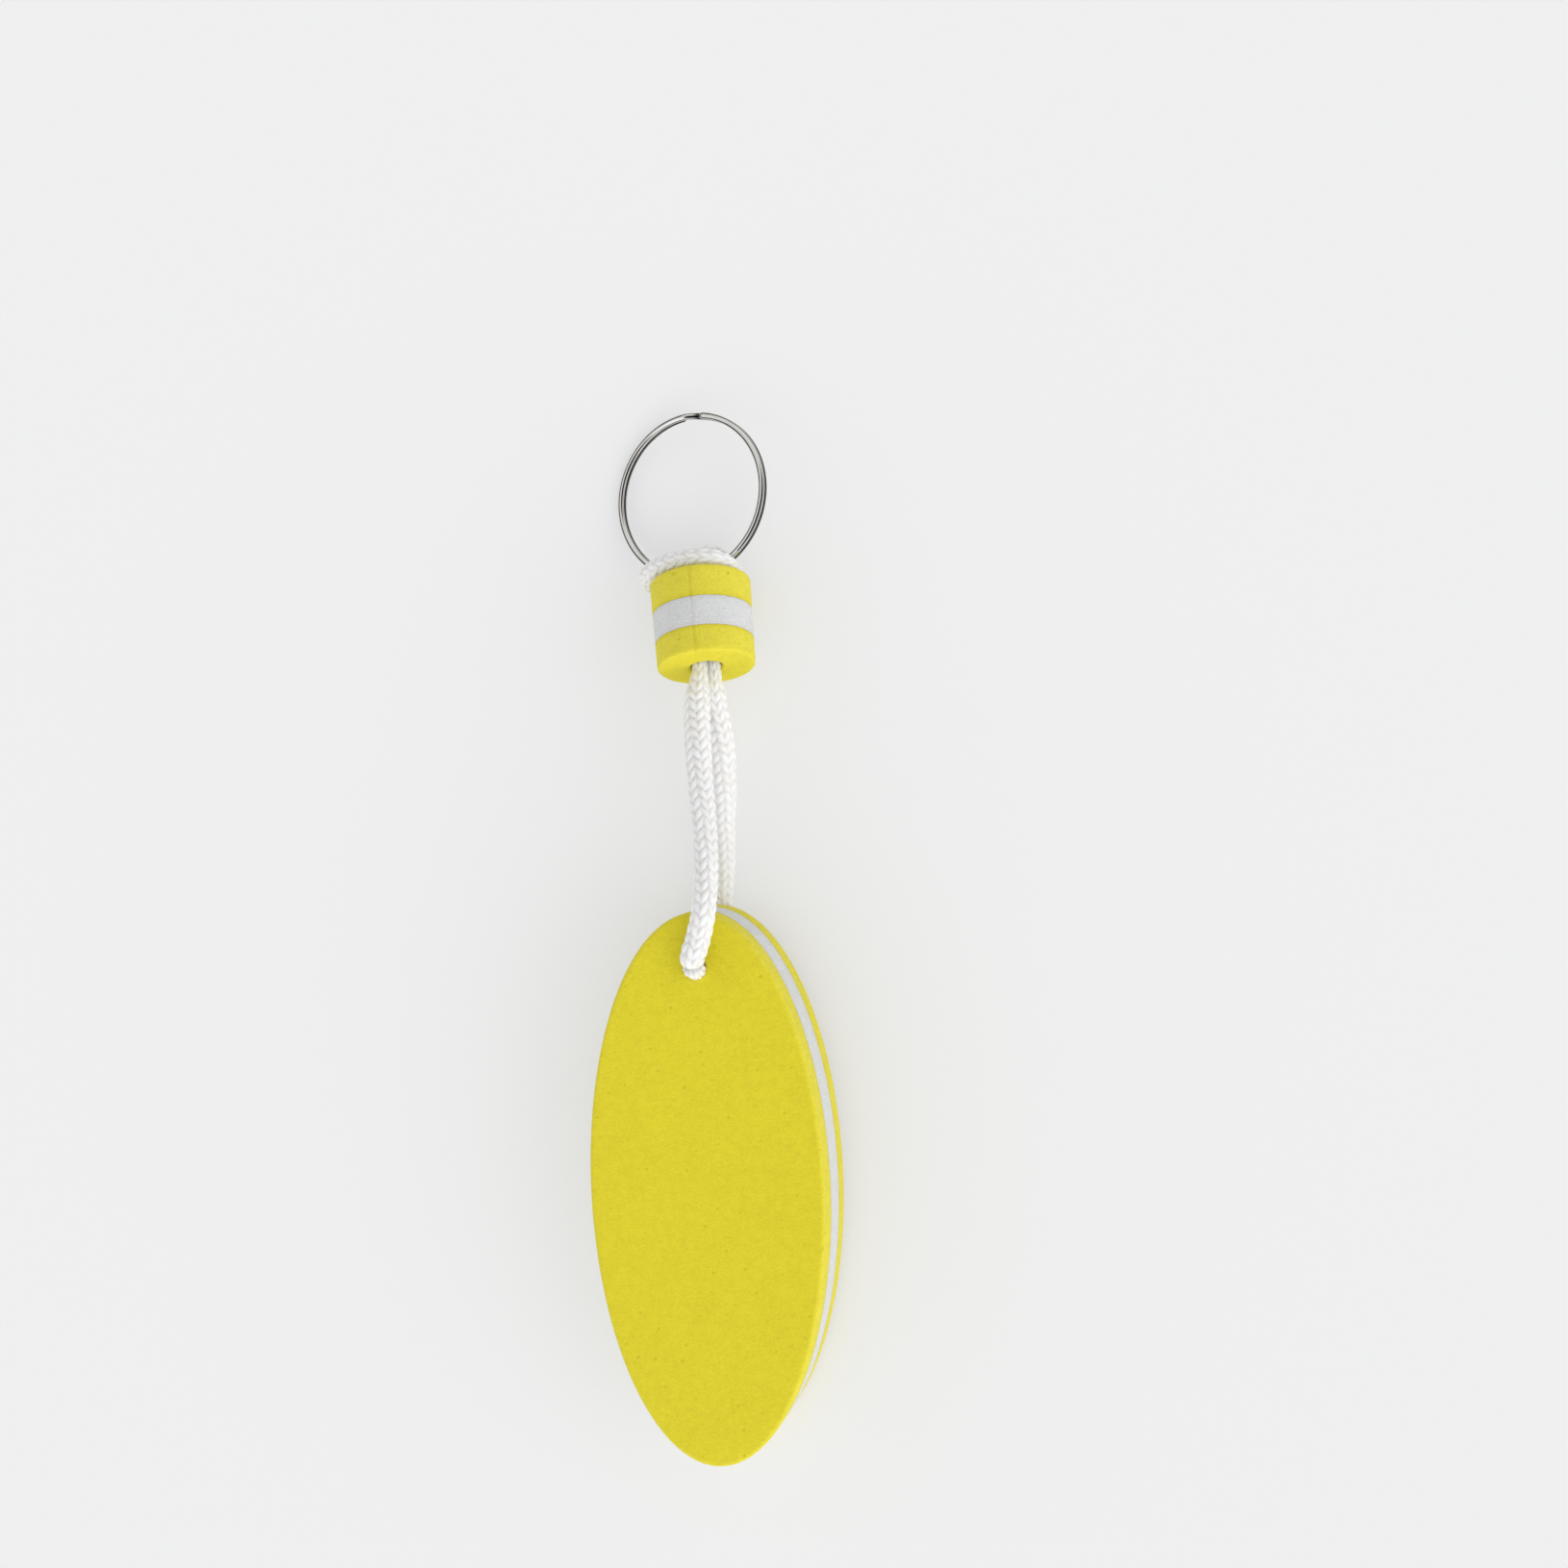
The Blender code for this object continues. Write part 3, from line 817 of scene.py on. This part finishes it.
def evenLine():  # the cord's middle at even steps, how far along each is, and how thick it is there
    line, widths = smoothLine(cordRoute(), braid["reads"])
    along = np.concatenate([[0], np.cumsum(np.linalg.norm(np.diff(line, axis=0), axis=1))])
    at = np.linspace(0, along[-1], int(along[-1] / braid["step"]))
    centre = np.stack([np.interp(at, along, line[:, k]) for k in range(3)], axis=1)
    return at, centre, np.interp(at, along, widths)


def foldCrease(at, centre):  # 1 where the cord folds into the float's hole, 0 away from it
    edge, reach, lean = holeY + oval["hole"] / 2, oval["hole"] / 2, braid["creaseAt"]
    y, z = edge - reach * math.sin(lean), reach * math.cos(lean)
    fold = floatPlace @ Vector((oval["holeOffMiddle"], y, z))
    nearest = np.argmin(np.linalg.norm(centre - np.array(fold), axis=1))
    return np.exp(-((at - at[nearest]) / braid["creaseWidth"]) ** 2)


def cordAxes(at, centre):  # two directions across the cord, and its bend
    forward = np.gradient(centre, axis=0)
    forward /= np.linalg.norm(forward, axis=1)[:, None]
    side = np.zeros_like(centre)
    first = np.cross(forward[0], (0, 0, 1.0))
    side[0] = first / np.linalg.norm(first)
    for i in range(1, len(centre)):  # carried along without twisting
        carried = side[i - 1] - forward[i] * (side[i - 1] @ forward[i])
        side[i] = carried / np.linalg.norm(carried)
    bend = np.gradient(forward, at, axis=0)
    for _ in range(3):
        bend[1:-1] = (bend[:-2] + 2 * bend[1:-1] + bend[2:]) / 4
    return side, np.cross(forward, side), bend


def yarnCrown(across):  # a flat yarn's rounded back, with a shallow groove between its two plies
    back = np.sqrt(np.maximum(0.0, 1 - across ** 2))
    return back - braid["plyGroove"] * np.exp(-(across / braid["plyWidth"]) ** 2)


def straying(theta, at):  # a slow noise over the cord's surface
    def read(t, s):
        angle, size = 2 * math.pi * t, braid["wanderAround"]
        where = (math.cos(angle) * size, math.sin(angle) * size, s * braid["wanderAlong"])
        return noise.noise(Vector(where))
    return np.array([[read(t, s) for t in theta] for s in at])


def yarnHeights(turn, far):  # 0 in the pits between the yarns, 1 on the highest one's back
    column = math.pi * turn * braid["eachWay"]
    wave = np.cos(column)
    bow = np.sin(column) * braid["yarnSlant"] / math.pi  # a yarn lies flatter where it is on top
    yarnS = (turn - far) * braid["eachWay"] - bow
    yarnZ = (turn + far) * braid["eachWay"] + bow
    riseS = braid["yarnRise"] * wave + yarnCrown(2 * (yarnS % 1) - 1)
    riseZ = -braid["yarnRise"] * wave + yarnCrown(2 * (yarnZ % 1) - 1)
    blend = braid["yarnBlend"]
    rise = np.log(np.exp(blend * riseS) + np.exp(blend * riseZ)) / blend
    return np.clip((rise - braid["lowest"]) / (1 - braid["lowest"] + braid["yarnRise"]), 0, 1)


def squeezeInBends(offset, bend):  # the inside of a tight bend is squeezed flat
    sharp = np.maximum(np.linalg.norm(bend, axis=1), 1e-6)
    inward = bend / sharp[:, None]
    lean = (offset * inward[:, None, :]).sum(2)
    room = (braid["bendKeep"] / sharp)[:, None]
    pressed = np.where(lean > 0, room * np.tanh(lean / room), lean)
    return offset + inward[:, None, :] * (pressed - lean)[:, :, None]


def pressTogether(offset, at, centre, width):  # two stretches that touch press each other flat
    apart = np.linalg.norm(centre[:, None, :] - centre[None, :, :], axis=2)
    apart[np.abs(at[:, None] - at[None, :]) < braid["ownStretch"]] = 1.0
    nextTo = np.argmin(apart, axis=1)  # the nearest place on another stretch of the cord
    towards = centre[nextTo] - centre
    gap = np.linalg.norm(towards, axis=1)
    towards /= gap[:, None]
    limit = gap * width / (width + width[nextTo])
    over = np.maximum(0, (offset * towards[:, None, :]).sum(2) - limit[:, None])
    return offset - towards[:, None, :] * over[:, :, None]


def giveBraidMap(piece, turn, far):  # each point's place in the pattern, for the threads
    count, around = turn.shape
    corners = np.zeros(len(piece.data.loops), np.int64)
    piece.data.loops.foreach_get("vertex_index", corners)
    known = np.minimum(corners, count * around - 1)
    u, v = turn.ravel()[known], far.ravel()[known]
    quadCorners = (count - 1) * around * 4
    column = (known % around)[:quadCorners].reshape(-1, 4)
    closing = (column == around - 1).any(1) & (column == 0).any(1)
    u[:quadCorners] += (closing[:, None] & (column == 0)).ravel()  # it goes on instead of back
    uv = piece.data.uv_layers.new(name="braid")
    uv.data.foreach_set("uv", np.stack([u, v], axis=1).astype(np.float32).ravel())


def makeCord():
    at, centre, width = evenLine()
    crease = foldCrease(at, centre)
    width *= 1 - braid["creaseDepth"] * crease
    side, other, bend = cordAxes(at, centre)

    count, around = len(at), braid["around"]
    theta = np.arange(around) / around
    wander = straying(theta, at)
    turn = theta[None, :] + braid["twist"] * at[:, None] + braid["sway"] * wander
    far = (at[:, None] + braid["wander"] * wander) / braid["yarnTurn"]
    rise = yarnHeights(turn, far)
    radius = cordSize["diameter"] / 2 * width[:, None]
    radius = radius * (braid["fullest"] - braid["relief"] * (1 - rise))
    radius *= 1 + braid["swell"] * wander

    angle = 2 * math.pi * theta[None, :, None]
    out = np.cos(angle) * side[:, None, :] + np.sin(angle) * other[:, None, :]
    offset = squeezeInBends(out * radius[:, :, None], bend)
    offset = pressTogether(offset, at, centre, width)
    points = (centre[:, None, :] + offset).reshape(-1, 3)
    points[:, 2] = np.maximum(points[:, 2], braid["offTable"])

    faces = loopFaces(count, around, False)
    ends, last = len(points), (count - 1) * around
    points = np.vstack([points, centre[:1], centre[-1:]])
    faces += [(ends, (j + 1) % around, j) for j in range(around)]
    faces += [(ends + 1, last + j, last + (j + 1) % around) for j in range(around)]

    paint = makeBraidPaint()
    piece = makePiece("braidedCord", points, faces, paint, "float_and_cord", "cord")
    # painted shade: darkest where the yarns sink lowest, and in the crease where the cord folds
    pitShades = np.clip((1 - rise) ** 1.5 + braid["creaseShade"] * crease[:, None], 0, 1.8)
    giveAttribute(piece, "pit", np.concatenate([pitShades.ravel(), [1, 1]]))
    giveBraidMap(piece, turn, far)
    print("cord made:", count, "rings,", round(at[-1] * 1000, 1), "mm")


makeCord()


# Split ring: two turns of crowned flat wire, and a crank where one turn climbs on the other

ringDetail = {
    "perTurn": 240,
    "around": 36,
    "endSizes": (0.80, 0.93),  # the wire's rounded ends: at the tip, and just before it
    "endStep": 0.00012,
    "shadeGain": 1.8,
}
steelLook = {
    "colour": (0.740, 0.730, 0.705),
    "worn": (0.660, 0.648, 0.622),
    # painted shade: a near-black colour where the wire faces the other turn, for the shade and dark
    # reflection in the gap
    "betweenTurns": (0.060, 0.060, 0.054),
    "smearScale": 380.0,
    "lineStretch": (30.0, 900.0, 1.0),  # drawing lines run along the wire
    "roughness": 0.03,
    "lineRough": 0.04,
    "smearRough": 0.05,
    "scratch": 0.000002,
    "lineRelief": 0.3,
    "bump": 0.6,
}


def makeSteel():
    look = steelLook
    paint = Paint("brightSteel", metallic=1.0)
    stretch = {"Vector": paint.map("wire"), "Scale": look["lineStretch"]}
    drawn = paint.node("ShaderNodeMapping", {}, stretch, "Vector")
    lines = paint.noise(drawn, 1.0, 3.0)
    smear = paint.noise(paint.place(), look["smearScale"], 3.0)
    tone = paint.mix(paint.ramp(smear, (0.35, 0.0), (0.75, 1.0)), look["colour"], look["worn"])
    # painted shade and reflection: darkened where the wire faces the other turn, in the gap between
    # the turns
    tone = paint.mix(paint.attribute("betweenTurns"), tone, look["betweenTurns"])
    rough = look["roughness"] + lines * look["lineRough"] + smear * look["smearRough"]
    relief = lines * look["lineRelief"] + smear
    normal = paint.bump(relief, look["scratch"], look["bump"])
    return paint.finish(Base_Color=tone, Roughness=rough, Normal=normal)


def wireSection():
    angles = [-2 * math.pi * k / ringDetail["around"] for k in range(ringDetail["around"])]
    wide, thick = ring["wireWidth"] / 2, ring["wireThickness"] / 2
    return [(wide * math.cos(a), thick * math.sin(a)) for a in angles]


def wireHeight(angle):  # the lower turn, the crank, then the upper turn
    share = max(-1.0, min(1.0, (angle - 2 * math.pi) / ring["crank"]))
    return turnStep * math.sin(share * math.pi / 2)


def wireStations():  # the angle of each ring of points, and its size
    start, finish = ring["wireEnd"], 4 * math.pi - ring["wireEnd"]
    count = 2 * ringDetail["perTurn"]
    tip, shoulder = ringDetail["endSizes"]
    nudge = ringDetail["endStep"] / wireRadius
    stations = [(start + (finish - start) * k / count, 1.0) for k in range(count + 1)]
    before = [(start - nudge * 2, tip), (start - nudge, shoulder)]
    after = [(finish + nudge, shoulder), (finish + nudge * 2, tip)]
    return before + stations + after


def makeRing():
    section, stations = wireSection(), wireStations()
    rings, around = len(stations), len(section)
    points, uvs, shades = [], [], []
    for angle, size in stations:
        turn = ring["splitAt"] + angle
        lift = wireHeight(angle)
        for j, (x, z) in enumerate(section):
            r = wireRadius + x * size
            local = Vector((r * math.cos(turn), r * math.sin(turn), lift + z * size))
            points.append(ringPlace @ local)
            uvs.append((angle / (2 * math.pi), j / around))
            # how far it faces the other turn, for the painted shade in the gap between the turns
            facing = -lift / turnStep * z / (ring["wireThickness"] / 2)
            shades.append(max(0.0, min(1.0, facing * ringDetail["shadeGain"])))
    faces = loopFaces(rings, around, False)
    faces.append(tuple(reversed(range(around))))
    faces.append(tuple((rings - 1) * around + j for j in range(around)))
    piece = makePiece("splitRing", points, faces, makeSteel(), "ring", "split_ring")
    # how much painted shade each point gets, from the gap between the turns
    giveAttribute(piece, "betweenTurns", shades)
    uv = piece.data.uv_layers.new(name="wire")
    for loop in piece.data.loops:
        uv.data[loop.index].uv = uvs[loop.vertex_index]
    piece.data.set_sharp_from_angle(angle=math.radians(40))


makeRing()
print("ring made")


# Floor, backdrop and lights

studio = {
    "floor": (0.842, 0.844, 0.846),
    "floorGlow": 0.50,  # how much of the floor's paleness is its own, which lightens the shadow
    "floorSize": 4.0,
    "horizon": 1.02,
    "zenith": 0.28,
    "softboxes": [  # where each stands, and its strength
        ((0.955, -0.16, 0.25), 0.84),
        ((0.10, -0.92, 0.34), 1.05),
        ((-0.95, 0.10, 0.26), 0.46),
    ],
    "room": [  # what glossy surfaces mirror: height, tone
        (0.0, 0.95), (0.10, 0.85), (0.14, 0.02), (0.50, 0.02), (0.60, 1.0), (0.86, 1.0),
        (0.93, 0.02),
    ],
    "patchScale": 1.6,
    "roomDim": 0.25,
    "roomBright": 1.6,
    "lamps": [  # name, where it shines from, width, strength
        ("rightLamp", (1.00, -0.30, 0.50), math.radians(50), 0.34),
    ],
}


def makeFloor():
    size = studio["floorSize"]
    corners = [(-size, -size, 0), (size, -size, 0), (size, size, 0), (-size, size, 0)]
    mesh = bpy.data.meshes.new("floor")
    mesh.from_pydata(corners, [], [(0, 1, 2, 3)])
    floor = bpy.data.objects.new("floor", mesh)
    scene.collection.objects.link(floor)
    paint = Paint("paleFloor", specular=0.0)
    mesh.materials.append(paint.finish(Base_Color=studio["floor"], Roughness=1.0))
    lit = Wire(paint, paint.shader.outputs["BSDF"])
    glowing = paint.node("ShaderNodeEmission", {}, {"Color": studio["floor"]}, "Emission")
    rays = ("Is Camera Ray", "Is Glossy Ray", "Is Transmission Ray")
    camera, glossy, through = (paint.light(name) for name in rays)
    both = paint.blend((camera + glossy + through) * studio["floorGlow"], lit, glowing)
    paint.fill(paint.tree.nodes["Material Output"].inputs["Surface"], both)


def makeWorld():
    world = bpy.data.worlds.new("studioWorld")
    world.use_nodes = True
    scene.world = world
    sky = Nodes(world.node_tree)
    towards = sky.node("ShaderNodeTexCoord", {}, {}, "Generated")
    height = sky.part(towards, "Z")

    def backdrop(colour, strength=1.0):
        sockets = {"Color": colour, "Strength": strength}
        return sky.node("ShaderNodeBackground", {}, sockets, "Background")

    fall = sky.ramp(height, (0.0, 1.0), (1.0, studio["zenith"] / studio["horizon"]))
    glow = fall * studio["horizon"]
    for place, strength in studio["softboxes"]:
        settings, sockets = {"operation": "DOT_PRODUCT"}, {0: towards, 1: place}
        facing = sky.node("ShaderNodeVectorMath", settings, sockets, "Value")
        glow = glow + (facing.positive() ** 2.0) * strength
    soft = backdrop((1.0, 1.0, 1.0), glow)
    pale = backdrop(studio["floor"])
    patches = sky.noise(towards, studio["patchScale"], 1.0)  # softboxes and darker gaps
    room = backdrop(
        sky.ramp(height, *studio["room"]), studio["roomDim"] + patches * studio["roomBright"],
    )
    seen = (sky.light("Is Camera Ray") + sky.light("Is Transmission Ray")) > 0.5
    mirrored = sky.blend(sky.light("Is Glossy Ray"), sky.blend(seen, soft, pale), room)
    sky.fill(sky.tree.nodes["World Output"].inputs["Surface"], mirrored)


def makeLamps():
    for name, place, width, strength in studio["lamps"]:
        data = bpy.data.lights.new(name, "SUN")
        data.angle = width
        data.energy = strength
        lamp = bpy.data.objects.new(name, data)
        scene.collection.objects.link(lamp)
        lamp.rotation_mode = "QUATERNION"
        lamp.rotation_quaternion = (-Vector(place)).to_track_quat("-Z", "Y")
        lamp.visible_glossy = False  # the steel mirrors the room


makeFloor()
makeWorld()
makeLamps()
scene.view_settings.view_transform = "Standard"
print("studio set")
